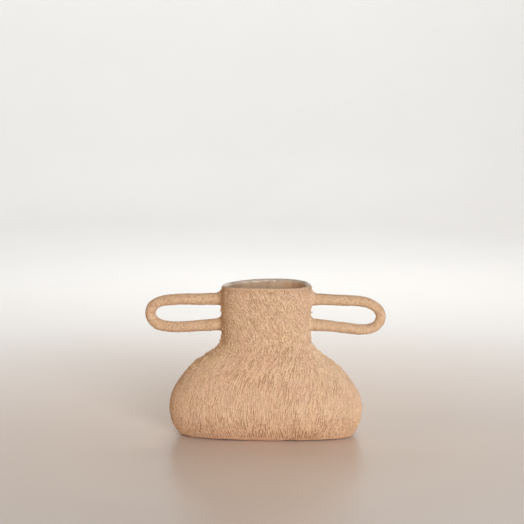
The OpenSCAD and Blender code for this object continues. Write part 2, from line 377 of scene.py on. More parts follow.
def strokes(r, c, spread, size=1.0, long=1.0, deep=1.0, crumbs=1.0):
    n = len(r)
    p = P0[r, c]
    z = p[:, 2]
    ang = lean(p[:, 0], z) + 6 * noise(p, 38, 5) + 3 * noise(p, 15, 6)
    ang += rng.normal(0, spread, n) * (1 + 0.8 * np.clip(1 - np.abs(z - 98) / 16, 0, 1))
    length = long * by_height(z, [8.5, 9.5, 11.5, 13, 12, 9.5, 8.5, 9, 9, 9]) * (1 + rng.normal(0, 0.17, n))
    half = size * by_height(z, [.74, .74, .68, .64, .64, .64, .62, .60, .58, .58]) * rng.uniform(0.86, 1.16, n)
    patchy = 1 + np.interp(z, [84, 104], [1, 0.4]) * (0.2 * noise(p, 12, 71) + 0.14 * noise(p, 26, 72))
    depth = deep * patchy * by_height(z, [.80, .80, .72, .59, .60, .66, .69, .65, .63, .62]) * rng.uniform(0.72, 1.28, n)
    burr = deep * patchy * rng.uniform(0.18, 0.44, n)
    often = crumbs * by_height(z, [.30, .28, .20, .14, .16, .24, .30, .28, .24, .2])
    lump = np.where(rng.random(n) < often, rng.uniform(0.3, 0.8, n) * by_height(z, [1, 1, .9, .8, .9, 1.2, 1.3, 1.3, 1.2, 1.1]), 0)
    return list(zip(r, c, np.radians(ang), np.clip(length, 2.5, 18), half, depth, burr, lump,
                    np.ones(n, int), rng.normal(0, 0.3, n)))


def nearest(x, z):
    """Row and column of the front of the grid at x, z."""
    d = (P0[..., 0] - x) ** 2 + (Z - z) ** 2 + np.where(P0[..., 1] > 0, 1e6, 0)
    return np.unravel_index(np.argmin(d), d.shape)


H = np.zeros(Z.shape)
r, c = raked(8.0, 2.35, 0.2)
low = Z[r, c] < 84 + rng.normal(0, 5, len(r))
marks = strokes(r[low], c[low], 4.0)
r, c = raked(7.6, 2.5, 0.16)
high = Z[r, c] > 84 + rng.normal(0, 5, len(r))
marks += strokes(r[high], c[high], 3.5)
marks = [marks[i] for i in rng.permutation(len(marks))]
scratch(P0, TU, TV, H, marks + strokes(*scattered(int(AREA / 80)), 8.0, 0.85, 0.8))
# a long double scratch down the front of the neck
for x, z in ((-13.0, 170.0), (-7.0, 160.0), (-1.5, 149.0)):
    scratch(P0, TU, TV, H, [(*nearest(x, z), math.radians(-29), 16.0, 0.6, 0.58, 0.34, 0.0, 2, 0.1)])
# short deep digs near the foot
r, c = scattered(int(AREA / 14))
keep = rng.random(len(r)) < np.interp(Z[r, c], [0, 4, 8, 17, 26], [0, 0.25, 0.45, 0.35, 0])
scratch(P0, TU, TV, H, strokes(r[keep], c[keep], 16.0, 1.1, 0.45, 1.1, 1.5), floor=-1.3)
scratch(P0, TU, TV, H, strokes(*scattered(int(AREA / 14)), 11.0, 0.62, 0.45, 0.42, 0.5))
# fine short scratches on the neck
r, c = scattered(int(AREA / 20))
keep = rng.random(len(r)) < np.interp(Z[r, c], [84, 100, 176, 180], [0, 0.6, 0.6, 0])
scratch(P0, TU, TV, H, strokes(r[keep], c[keep], 6.0, 0.7, 0.6, 0.85, 0.3))


def lump(r, c, above, below, wide, high):
    """Raises a crumb at a grid point, steeper above it or below it as asked."""
    size = 2.2 * max(above, below, wide)
    wi = int(size / np.linalg.norm(P0[min(r + 1, len(P0) - 1), c] - P0[max(r - 1, 0), c]) * 2) + 1
    wj = int(size / (ROUND[r] / NU)) + 1
    r0, r1 = max(0, r - wi), min(len(P0), r + wi + 1)
    cols = np.arange(c - wj, c + wj + 1) % NU
    d = P0[r0:r1][:, cols] - P0[r, c]
    a = d @ TV[r, c]
    e = (a / np.where(a > 0, above, below)) ** 2 + (d @ TU[r, c] / wide) ** 2
    h = H[r0:r1][:, cols]
    H[r0:r1, cols] = h + high * np.exp(-e) * np.clip(1.8 - h, 0, 1)


# clods pushed up by the tool on the shoulder and the foot of the neck, more and larger ones on the two sides
r, c = scattered(int(AREA / 9))
side = np.clip((np.abs(P0[r, c, 0]) / np.abs(P0[..., 0]).max(1)[r] - 0.84) / 0.1, 0, 1)
often = np.interp(Z[r, c], [70, 88, 118, 138], [0, 0.13, 0.1, 0])
keep = rng.random(len(r)) < often + 0.22 * side * np.interp(Z[r, c], [82, 98, 128, 164, 172], [0, 1, 1, 0.55, 0])
for r, c, w in zip(r[keep], c[keep], side[keep]):
    lump(r, c, 0.8 + 0.4 * w, 1.5 + 0.3 * w, rng.uniform(0.75, 1.1 + 0.5 * w), rng.uniform(0.35 + 0.4 * w, 0.75 + 1.0 * w))
# loose crumbs, most of them on the neck and where it turns into the shoulder
r, c = scattered(int(AREA / 16))
keep = rng.random(len(r)) < by_height(Z[r, c], [.5, .4, .2, .1, .2, .45, .65, .6, .5, .35]) * np.clip((60 - ROLL[r]) / 60, 0, 1)
for r, c in zip(r[keep], c[keep]):
    rad, high = (rng.uniform(0.7, 1.0), rng.uniform(0.7, 1.1)) if rng.random() < 0.35 else (rng.uniform(0.5, 0.8), rng.uniform(0.3, 0.8))
    lump(r, c, rad, rad, rad, high)
# the largest clods stand out on the outline, under the handles and between their two ends
own = np.random.default_rng(77)
for low, top, count in ((99, 124, 10), (139, 157, 5)):
    for k in range(2 * count):
        c = int((k % 2 / 2 + own.normal(0, 0.014)) * NU) % NU
        r = int(np.abs(Z[:, c] - low - (top - low) * (k // 2 + own.uniform(0.2, 0.8)) / count).argmin())
        lump(r, c, own.uniform(0.6, 0.8), own.uniform(0.9, 1.2), own.uniform(0.9, 1.6), own.uniform(1.5, 2.8))
H += 0.06 * fractal(P0, 1.6, 31, 2)

# a fingertip run along under the lip, the lip itself smooth, and the foot wiped here and there
UNDER = LIP_Z - (Z - wave(U[None], Z))
ease = lambda v: np.clip(v, 0, 1) ** 2 * (3 - 2 * np.clip(v, 0, 1))
calm = ease((62 - ROLL) / 34)[:, None] * np.ones_like(Z)
line = np.exp(-((UNDER + 1.1 + 0.5 * noise(P0, 22, 43)) / 0.55) ** 2)
ring = np.stack([np.cos(U), np.sin(U), 0 * U], -1)
wiped = np.clip(1.1 + 2.4 * np.cos(U - 4.75) + 2.5 * noise(ring * 60, 12, 41) + 1.5 * noise(ring * 60, 4, 42), 0.1, 6.5)[None]
tab = ease((0.17 - np.abs(U - 4.68)) / 0.04) - 0.5 * ease((0.09 - np.abs(U - 4.93)) / 0.06)   # pressed down at the front
cut = np.clip(1.9 + 0.8 * noise(ring * 60, 9, 44) - 1.3 * tab, 0.6, 2.7)[None]   # height of the undercut
calm *= np.clip(0.2 + (Z - wiped) / 1.8, 0.2, 1) * np.clip(Z / 1.0, 0, 1)
lumps = 0.34 * noise(P0, 34, 3) + 0.2 * noise(P0, 15, 4)
lumps *= np.clip(Z / 8, 0, 1) * np.clip((UNDER + 3) / 8, 0.15, 1) * np.interp(Z, [90, 110], [1, 0.65])
RELIEF = (H * (1 - 0.5 * line) - 0.28 * line) * calm
# The relief also sets the clay's colour: darker in the grooves as painted shade, lighter on the ridges as painted
# highlight, a little stronger higher up.
RELIEF_SHADING = np.minimum(RELIEF, 0.5 + 0.2 * np.tanh((RELIEF - 0.5) / 0.4)) * by_height(Z, [1.0, 1.0, 1.0, 1, 1, 1.0, 1.05, 1.1, 1.15, 1.15])
near = ease((-np.sin(U) - 0.15) / 0.4)[None]
# Darker from about 7 mm under the lip up over its roll, less on top of the front lip: partly wear and staining, partly
# painted shade on the lip roll.
WEAR_AND_SHADE = 0.62 * ease((7.0 - UNDER) / 7.5) * (1 - 0.75 * near * ease((-UNDER - 1.0) / 1.0))
# Paler along the wiped band at the foot, and a thin pale line on top of the front lip: that line is a painted highlight
# where the lip catches the light, partly the glaze edge.
PALE_BAND_AND_GLINT = ease((wiped + 1.4 - Z) / 1.8)
PALE_BAND_AND_GLINT = np.maximum(PALE_BAND_AND_GLINT, near * ease((-UNDER - 1.3) / 1.0) * np.clip(0.7 + 0.6 * noise(P0, 9, 45), 0, 1))
D = RELIEF + lumps - 0.3 * np.clip(Z / 4, 0, 1) * np.clip((UNDER + 3) / 5, 0, 1)
P = P0 + N0 * D[..., None]
P -= unit(N0 * [1, 1, 0]) * (4.4 * np.clip(1 - Z / cut, 0, 1) ** 0.8)[..., None]
P[..., 2] = np.maximum(P[..., 2], 0.02)
P[0, :, 2] = 0.0
meet = FIRST["neck_wall"][0]                        # the row where every second column ends
P[meet, 1::2] = (P[meet, 0::2] + np.roll(P[meet, 0::2], -1, 0)) / 2
_, _, NG = sheet_frame(P)

# ---------------------------------------------------------------- materials
def new_material(name):
    m = bpy.data.materials.new(name)
    m.use_nodes = True
    nt = m.node_tree
    nt.nodes.clear()
    out = nt.nodes.new("ShaderNodeOutputMaterial")
    bsdf = nt.nodes.new("ShaderNodeBsdfPrincipled")
    nt.links.new(bsdf.outputs[0], out.inputs[0])
    return m, nt, bsdf


def srgb(r, g, b):
    f = lambda c: c / 12.92 if c <= 0.04045 else ((c + 0.055) / 1.055) ** 2.4
    return f(r / 255), f(g / 255), f(b / 255), 1.0


def noise_node(nt, coord, scale, detail=3.0, rough=0.55):
    n = nt.nodes.new("ShaderNodeTexNoise")
    n.inputs["Scale"].default_value = scale
    n.inputs["Detail"].default_value = detail
    n.inputs["Roughness"].default_value = rough
    nt.links.new(coord, n.inputs["Vector"])
    return n.outputs["Fac"]


def ramp(nt, fac, stops):
    n = nt.nodes.new("ShaderNodeValToRGB")
    el = n.color_ramp.elements
    while len(el) < len(stops):
        el.new(0.5)
    for e, (pos, col) in zip(el, stops):
        e.position, e.color = pos, col
    nt.links.new(fac, n.inputs[0])
    return n.outputs[0]


def mix(nt, kind, fac, a, b):
    n = nt.nodes.new("ShaderNodeMix")
    n.data_type, n.blend_type = "RGBA", kind
    if isinstance(fac, float):
        n.inputs[0].default_value = fac
    else:
        nt.links.new(fac, n.inputs[0])
    for socket, v in ((n.inputs[6], a), (n.inputs[7], b)):
        if isinstance(v, tuple):
            socket.default_value = v
        else:
            nt.links.new(v, socket)
    return n.outputs[2]


def span(nt, value, a, b, c=0.0, d=1.0):
    n = nt.nodes.new("ShaderNodeMapRange")
    for k, v in zip((1, 2, 3, 4), (a, b, c, d)):
        n.inputs[k].default_value = v
    nt.links.new(value, n.inputs[0])
    return n.outputs[0]


def attribute(nt, name):
    n = nt.nodes.new("ShaderNodeAttribute")
    n.attribute_type, n.attribute_name = "GEOMETRY", name
    return n.outputs["Fac"]


def clay_material(name, groove_shade, body, ridge_highlight, relief, sandy=1.0):
    m, nt, bsdf = new_material(name)
    spot = lambda r, g, b: (1 + sandy * (r - 1), 1 + sandy * (g - 1), 1 + sandy * (b - 1), 1)
    coord = nt.nodes.new("ShaderNodeTexCoord").outputs["Object"]
    h = span(nt, attribute(nt, "relief"), -relief, relief)
    # Painted shade in the grooves and painted highlight on the ridges, following the relief attribute.
    tone = ramp(nt, h, [(0.0, groove_shade), (0.42, body), (0.62, body), (1.0, ridge_highlight)])
    patch = span(nt, noise_node(nt, coord, 26.0, 2.0), 0.36, 0.64)
    tone = mix(nt, "MULTIPLY", 1.0, tone,
               ramp(nt, patch, [(0.0, (1.0, 0.955, 0.95, 1)), (0.5, (1.0, 1.0, 0.985, 1)), (1.0, (1.0, 0.985, 0.92, 1))]))
    low = nt.nodes.new("ShaderNodeSeparateXYZ")
    nt.links.new(coord, low.inputs[0])
    long = nt.nodes.new("ShaderNodeMapping")
    long.inputs["Scale"].default_value = (1.0, 1.0, 0.35)
    nt.links.new(coord, long.inputs["Vector"])
    streak = span(nt, noise_node(nt, long.outputs[0], 120.0, 2.0), 0.34, 0.66)
    tone = mix(nt, "MULTIPLY", span(nt, low.outputs[2], 0.07, 0.10, 1.0, 0.25), tone,
               ramp(nt, streak, [(0.0, (0.95, 0.945, 0.935, 1)), (0.5, (1, 1, 1, 1)), (1.0, (1.035, 1.035, 1.03, 1))]))
    grain = noise_node(nt, coord, 1150.0, 2.0, 0.6)
    tone = mix(nt, "MULTIPLY", 1.0, tone,
               ramp(nt, grain, [(0.25, spot(0.84, 0.82, 0.80)), (0.5, (1, 1, 1, 1)), (0.78, spot(1.09, 1.08, 1.06))]))
    fleck = span(nt, noise_node(nt, coord, 560.0, 1.0), 0.32, 0.68)
    tone = mix(nt, "MULTIPLY", 1.0, tone,
               ramp(nt, fleck, [(0.0, spot(0.87, 0.85, 0.835)), (0.45, (1, 1, 1, 1)), (1.0, spot(1.085, 1.085, 1.08))]))
    coarse = span(nt, noise_node(nt, coord, 600.0, 1.0), 0.34, 0.66)
    tone = mix(nt, "MULTIPLY", span(nt, low.outputs[2], 0.07, 0.10), tone,
               ramp(nt, coarse, [(0.0, spot(0.85, 0.835, 0.82)), (0.5, (1, 1, 1, 1)), (1.0, spot(1.10, 1.10, 1.09))]))
    # Darker and warmer towards the foot: painted shade where the wall turns under.
    tone = mix(nt, "MULTIPLY", 1.0, tone,
               ramp(nt, span(nt, low.outputs[2], 0.0, 0.034), [(0.0, (0.93, 0.875, 0.84, 1)), (0.1, (0.97, 0.91, 0.875, 1)), (0.45, (0.97, 0.925, 0.895, 1)),
                                                             (1.0, (1, 1, 1, 1))]))
    # A touch lighter round the shoulder and darker up the neck: painted light and shade for how the light falls from
    # belly to neck.
    tone = mix(nt, "MULTIPLY", 1.0, tone,
               ramp(nt, span(nt, low.outputs[2], 0.065, 0.14), [(0.0, (1, 1, 1, 1)), (0.3, (1.015, 1.02, 1.015, 1)), (1.0, (0.995, 0.995, 0.985, 1))]))
    # Darkening from this attribute: up to 1, the band at the lip, partly wear and partly painted shade; up to 2, the
    # painted contact shadow at the undercut edge of the foot.
    tone = mix(nt, "MULTIPLY", 1.0, tone,
               ramp(nt, span(nt, attribute(nt, "wear_and_shade"), 0.0, 2.0), [(0.0, (1, 1, 1, 1)), (0.5, (0.86, 0.83, 0.79, 1)), (1.0, (0.42, 0.34, 0.28, 1))]))
    # Lighter where this attribute says: the wiped band at the foot, and the painted highlight along the front lip.
    tone = mix(nt, "MULTIPLY", 1.0, tone,
               ramp(nt, attribute(nt, "pale_band_and_glint"), [(0.0, (1, 1, 1, 1)), (1.0, (1.09, 1.065, 1.075, 1))]))
    nt.links.new(tone, bsdf.inputs["Base Color"])
    nt.links.new(span(nt, grain, 0.3, 0.7, 0.82, 0.96), bsdf.inputs["Roughness"])
    bsdf.inputs["Specular IOR Level"].default_value = 0.25
    bump = nt.nodes.new("ShaderNodeBump")
    bump.inputs["Strength"].default_value = 0.35
    bump.inputs["Distance"].default_value = 0.00035
    nt.links.new(noise_node(nt, coord, 1700.0, 3.0, 0.65), bump.inputs["Height"])
    nt.links.new(bump.outputs[0], bsdf.inputs["Normal"])
    return m


def glaze_material(name):
    m, nt, bsdf = new_material(name)
    coord = nt.nodes.new("ShaderNodeTexCoord").outputs["Object"]
    flow = span(nt, noise_node(nt, coord, 45.0, 3.0), 0.35, 0.65)
    inside = ramp(nt, flow, [(0.0, srgb(171, 141, 112)), (0.5, srgb(186, 156, 126)), (1.0, srgb(200, 171, 141))])
    along = nt.nodes.new("ShaderNodeSeparateXYZ")
    nt.links.new(coord, along.inputs[0])
    # Inside the mouth towards the right end: first a little darker and warmer, then lighter; painted light and shade
    # for how the lamps reach that end.
    inside = mix(nt, "MULTIPLY", 1.0, inside, ramp(nt, span(nt, along.outputs[0], 0.014, 0.046), [
        (0.0, (1, 1, 1, 1)), (0.35, (1.0, 0.93, 0.83, 1)), (0.6, (1.24, 1.18, 1.12, 1)), (1.0, (1.27, 1.25, 1.22, 1))]))
    pale = ramp(nt, span(nt, noise_node(nt, coord, 60.0, 2.0), 0.35, 0.65),
                [(0.0, srgb(172, 155, 138)), (0.5, srgb(186, 169, 151)), (1.0, srgb(202, 186, 168))])
    tone = mix(nt, "MIX", attribute(nt, "lip"), inside, pale)
    # Cream where the glaze bead runs: a painted highlight along the inner edge of the lip and at its ends.
    tone = mix(nt, "MIX", attribute(nt, "bead_glint"), tone, srgb(234, 214, 189))
    speck = span(nt, noise_node(nt, coord, 700.0, 1.0), 0.68, 0.76)
    tone = mix(nt, "MIX", speck, tone, srgb(138, 108, 84))
    nt.links.new(tone, bsdf.inputs["Base Color"])
    nt.links.new(span(nt, noise_node(nt, coord, 130.0, 3.0), 0.3, 0.7, 0.24, 0.38), bsdf.inputs["Roughness"])
    bsdf.inputs["Specular IOR Level"].default_value = 0.42
    bump = nt.nodes.new("ShaderNodeBump")
    bump.inputs["Strength"].default_value = 0.12
    bump.inputs["Distance"].default_value = 0.0006
    nt.links.new(noise_node(nt, coord, 210.0, 3.0), bump.inputs["Height"])
    nt.links.new(bump.outputs[0], bsdf.inputs["Normal"])
    return m


CLAY = clay_material("scratched_clay", srgb(160, 118, 87), srgb(216, 182, 150), srgb(234, 204, 175), 1.0)
HANDLE_CLAY = clay_material("rolled_clay", srgb(168, 128, 96), srgb(212, 178, 144), srgb(224, 191, 159), 0.5, 0.55)
GLAZE_MAT = glaze_material("inside_glaze")

# ---------------------------------------------------------------- wall courses
for name, a, b, n in COURSES[1:]:
    r0, r1 = FIRST[name]
    if name == "rim_coil":
        r1 = len(P) - 1
    skip = EVERY.get(name, 1)
    cols = NU // skip
    few = cols // 4                                 # columns round hidden faces
    out_p, out_n = P[r0:r1 + 1, ::skip], NG[r0:r1 + 1, ::skip]
    out_h, out_w, out_s = RELIEF_SHADING[r0:r1 + 1, ::skip], WEAR_AND_SHADE[r0:r1 + 1, ::skip], PALE_BAND_AND_GLINT[r0:r1 + 1, ::skip]
    if name == "rim_coil":
        back = ovals(np.array([lip(x) for x in np.linspace(90, 180, 9)[1:]]), U[::skip])
        both = np.concatenate([out_p, back])
        out_n = np.concatenate([out_n[:-1], sheet_frame(both)[2][len(out_p) - 1:]])
        out_p = both
        out_h = np.concatenate([out_h, np.zeros(back.shape[:2])])
        out_w = np.concatenate([out_w, np.ones(back.shape[:2])])
        out_s = np.concatenate([out_s, np.zeros(back.shape[:2])])
    rows = len(out_p)
    ins = INSIDE[name]
    in_p = ovals(inner(ins[::-1]), U[::4 * skip])
    verts = np.concatenate([out_p.reshape(-1, 3), in_p.reshape(-1, 3)])
    base_in = rows * cols
    k = len(ins)
    hidden = [step_down((rows - 1) * cols, base_in, cols),
              step_down(0, base_in + (k - 1) * few, cols, flip=True)]
    uv = [strip_uv(rows, cols, 4, 0.03, 1.0), flat_uv(hidden[0], 0.0, 0.008), flat_uv(hidden[1], 0.01, 0.018)]
    polys = [grid_quads(0, rows, cols)] + hidden
    if k > 1:
        polys.append(grid_quads(base_in, k, few))
        uv.append(flat_uv(polys[-1], 0.02, 0.028))
    _, _, in_n = sheet_frame(in_p) if k > 1 else (0, 0, -unit(in_p * np.array([1, 1, 0.0])))
    normals = np.concatenate([out_n.reshape(-1, 3), in_n.reshape(-1, 3)])
    extra = np.zeros(k * few)
    add_piece(name + "_skin", verts, polys, normals, uv, {"relief": np.concatenate([out_h.reshape(-1), extra]),
              "wear_and_shade": np.concatenate([out_w.reshape(-1), extra]),
              "pale_band_and_glint": np.concatenate([out_s.reshape(-1), extra])}, name, CLAY)

# ---------------------------------------------------------------- floor slab
r0, r1 = FIRST["floor_slab"]
edge_p, edge_n, edge_h = P[r0:r1 + 1], NG[r0:r1 + 1], RELIEF_SHADING[r0:r1 + 1]
rows = len(edge_p)
NI, UI = NU // 4, U[::4]
foot = P[0, ::4]
under_k = np.array([0.985, 0.95, 0.88, 0.76, 0.6, 0.42, 0.22])
mid = np.array([(102 - 97.5) / 2, 0, 0])
under = np.stack([mid + (foot - mid) * [f, f, 0] for f in under_k])
under[..., 2] = np.maximum(0.12 + 0.08 * fractal(under, 9, 77, 2), 0.03)
under[0, :, 2] = 0.03
top_row = ovals(inner(2), UI)
top_k = np.array([0.9, 0.6, 0.3])
mid_t = np.array([(top_row[0, :, 0].max() + top_row[0, :, 0].min()) / 2, 0, 7.0])
top = np.concatenate([top_row] + [(mid_t + (top_row - mid_t) * [f, f, 0]) for f in top_k])
verts = np.concatenate([edge_p.reshape(-1, 3), under.reshape(-1, 3), mid[None] + [[0, 0, 0.1]],
                        top.reshape(-1, 3), mid_t[None]])
b_under = rows * NU
b_mid = b_under + under.shape[0] * NI
b_top = b_mid + 1
b_tmid = b_top + top.shape[0] * NI
k = np.arange(NI)
kn = (k + 1) % NI
polys = [grid_quads(0, rows, NU), step_down(0, b_under, NU, flip=True),
         grid_quads(b_under, len(under), NI)[:, ::-1],
         np.stack([np.full(NI, b_mid), b_mid - NI + kn, b_mid - NI + k], -1),
         step_down((rows - 1) * NU, b_top, NU), grid_quads(b_top, len(top), NI),
         np.stack([np.full(NI, b_tmid), b_tmid - NI + k, b_tmid - NI + kn], -1)]


def plan_uv(polys, verts, lo, hi):
    p = verts[polys][..., :2]
    return np.stack([(p[..., 0] + 120) / 240, lo + (hi - lo) * (p[..., 1] + 60) / 120], -1)


uv = [strip_uv(rows, NU, 2, 0.6, 0.99), plan_uv(polys[1], verts, 0.05, 0.55), plan_uv(polys[2], verts, 0.05, 0.55),
      plan_uv(polys[3], verts, 0.05, 0.55), flat_uv(polys[4], 0.0, 0.01), flat_uv(polys[5], 0.012, 0.022),
      flat_uv(polys[6], 0.024, 0.034)]
normals = np.concatenate([edge_n.reshape(-1, 3), np.tile([0, 0, -1.0], (under.shape[0] * NI + 1, 1)),
                          np.tile([0, 0, 1.0], (top.shape[0] * NI + 1, 1))])
relief = np.concatenate([edge_h.reshape(-1), np.full(under.shape[0] * NI + 1, 0.05), np.zeros(top.shape[0] * NI + 1)])
pale_band_and_glint = np.concatenate([PALE_BAND_AND_GLINT[r0:r1 + 1].reshape(-1), np.zeros(len(verts) - rows * NU)])
painted_contact_shadow = 2 * np.clip(1 - Z[r0:r1 + 1] / cut, 0, 1) ** 0.6          # painted contact shadow: the undercut edge is darkened where the foot meets the floor
wear_and_shade = np.concatenate([painted_contact_shadow.reshape(-1), np.zeros(len(verts) - rows * NU)])
add_piece("floor_slab_skin", verts, polys, normals, uv, {"relief": relief, "pale_band_and_glint": pale_band_and_glint, "wear_and_shade": wear_and_shade}, "floor_slab", CLAY)

# ---------------------------------------------------------------- glaze inside and on the lip
NGL = 576
UG = even_angles(NGL)
inside = np.linspace(14.85, 3.0, 74)
loop_g = np.stack([40 * np.cos(UG), 40 * np.sin(UG), 0 * UG], -1)
end = 74 + 9 * noise(loop_g, 9, 51) + 32 * ease(-np.sin(UG) / 0.5) - 20 * np.abs(np.cos(UG)) ** 5
# thick runs of glaze inside the far lip, and at its two ends: a slight raised bead, coloured cream as a painted
# highlight
lip_x = ovals(outer(LAST), UG)[0, :, 0]
BEAD_GLINT = sum(a * np.exp(-((lip_x - x) / w) ** 2) for x, w, a in ((-29, 4.5, 0.7), (-14, 8, 1.0), (0, 4, 0.85), (10.5, 2.2, 0.9)))
BEAD_GLINT = np.clip(BEAD_GLINT * (0.8 + 0.3 * noise(loop_g, 5, 52)), 0, 1) * ease((np.sin(UG) - 0.1) / 0.5)
left_end, right_end = ease((-np.cos(UG) - 0.84) / 0.1), ease((np.cos(UG) - 0.86) / 0.1)
BEAD_GLINT = np.maximum(BEAD_GLINT, np.maximum(left_end, 0.4 * right_end))
ends = np.maximum(left_end, right_end)
bead_at = 160 + 8 * noise(loop_g, 8, 53) - 22 * ends
fall = np.linspace(0, 1, 15)
front, lip_w, bead_glint_w = [], [], []
for f in fall:
    ang = end + (180 - end) * f
    bead_glint = BEAD_GLINT * np.exp(-((ang - bead_at) / (13 + 22 * ends)) ** 2)
    r = WALL / 2 + 0.06 + GLAZE * np.clip((ang - end) / 22, 0, 1) ** 0.6 + 0.3 * bead_glint
    bead_glint_w.append(bead_glint)
    v = np.repeat(outer(LAST), NGL, 0)
    v[:, 0] += r * np.sin(np.radians(ang))
    v[:, 1:4] -= (WALL / 2 - r * np.cos(np.radians(ang)))[:, None]
    front.append(oval_points(v, UG))
    lip_w.append(np.clip((178 - ang) / 34, 0, 1))
for s in inside:
    front.append(ovals(inner(s, WALL + GLAZE), UG)[0])
    lip_w.append(np.full(NGL, np.clip((s - 14.7) / 0.5, 0, 1) * 0.3))
corner = inner(2)[0]
coil_edge = inset(corner, 6.0)
coil_face = 0.35 * coil_edge + 0.35 * inner(3)[0] + 0.3 * corner
front.append(ovals(inset(coil_face, 0.7 * GLAZE, 0.7 * GLAZE), UG)[0])
front.append(ovals(inset(coil_edge, 0.3, GLAZE), UG)[0])
centre = np.array([(coil_edge[2] - coil_edge[1]) / 2, 0, 7 + GLAZE])
for f in (0.85, 0.6, 0.3):
    front.append(centre + (front[len(fall) + len(inside) + 1] - centre) * [f, f, 1])
lip_w += [np.zeros(NGL)] * (len(front) - len(lip_w))
bead_glint_w += [np.zeros(NGL)] * (len(front) - len(bead_glint_w))
front = np.array(front)
_, _, fn = sheet_frame(front)
ripple = 0.10 * noise(front, 11, 61) + 0.05 * noise(front, 4, 62)
ripple[:3] = 0
front = front + fn * ripple[..., None]
back_v = [lip(x) for x in (118, 130, 145, 162, 180)] + [inner(s)[0] for s in
          (14, 13, 12, 11.35, 11, 10.5, 10, 9.5, 9, 8.5, 8, 7.5, 7, 6.5, 6, 5.5, 5, 4.5, 4, 3.5, 3)] + [coil_face, coil_edge]
back = ovals(np.array(back_v), UG)
nf, nb = len(front), len(back)
verts = np.concatenate([front.reshape(-1, 3), centre[None], back.reshape(-1, 3), centre[None] - [[0, 0, GLAZE]]])
b_c = nf * NGL
b_b = b_c + 1
b_e = b_b + nb * NGL
k = np.arange(NGL)
kn = (k + 1) % NGL
lip_edge = np.stack([k, b_b + k, b_b + kn, kn], -1)
polys = [grid_quads(0, nf, NGL), np.stack([np.full(NGL, b_c), b_c - NGL + k, b_c - NGL + kn], -1),
         grid_quads(b_b, nb, NGL)[:, ::-1], np.stack([np.full(NGL, b_e), b_e - NGL + kn, b_e - NGL + k], -1), lip_edge[:, ::-1]]
uv = [strip_uv(nf, NGL, 4, 0.06, 1.0), flat_uv(polys[1], 0.0, 0.01), flat_uv(polys[2], 0.012, 0.022),
      flat_uv(polys[3], 0.024, 0.034), flat_uv(polys[4], 0.036, 0.046)]
weight = np.concatenate([np.array(lip_w).reshape(-1), [0], np.zeros(nb * NGL), [0]])
bead_glint = np.concatenate([np.array(bead_glint_w).reshape(-1), [0], np.zeros(nb * NGL), [0]])
lining = add_piece("glaze_lining_skin", verts, polys, None, uv, {"lip": weight, "bead_glint": bead_glint}, "glaze_lining", GLAZE_MAT)


# ---------------------------------------------------------------- handles and their roots
def neck_x(hand, y, z):
    q = np.linspace(10, LAST, 400)
    end = LIP_Z + wave(0.0 if hand > 0 else math.pi, LIP_Z)
    v = outer(np.interp(z, outer(q)[:, 0], q))
    x = hand * (v[:, 2] - v[:, 1]) / 2 + (v[:, 2] + v[:, 1]) / 2 * (1 - (np.abs(y) / v[:, 3]) ** v[:, 4]) ** (1 / v[:, 4])
    over = np.clip(z - end, 0, WALL / 2)                  # above the spring line the lip rounds over
    return x - (WALL / 2 - np.sqrt((WALL / 2) ** 2 - over ** 2))


